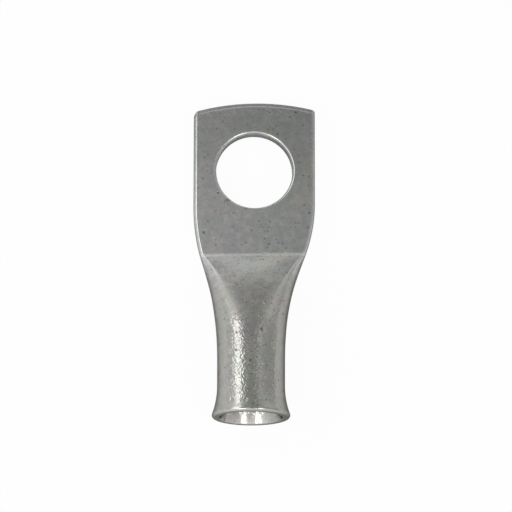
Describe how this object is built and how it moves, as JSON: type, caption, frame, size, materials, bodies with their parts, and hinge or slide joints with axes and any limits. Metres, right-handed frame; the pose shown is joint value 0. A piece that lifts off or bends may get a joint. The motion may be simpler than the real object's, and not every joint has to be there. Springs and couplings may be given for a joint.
{
  "type": "tinned copper cable lug",
  "caption": "One-piece tube cable lug: flared mouth, round crimp barrel and a pressed flat palm with a punched stud hole.",
  "frame": {"origin": "centre of the stud hole on the contact face of the palm", "axes": "+Z out of the stepped front face, +Y towards the palm's tip, -Y towards the mouth, +X across the palm"},
  "size_m": [0.0166, 0.0452, 0.0106],
  "materials": {
    "tinned_copper": "bright tin plate over copper, lightly pitted and scratched"
  },
  "bodies": {
    "root": {"cable_lug": "tinned_copper"}
  },
  "joints": []
}
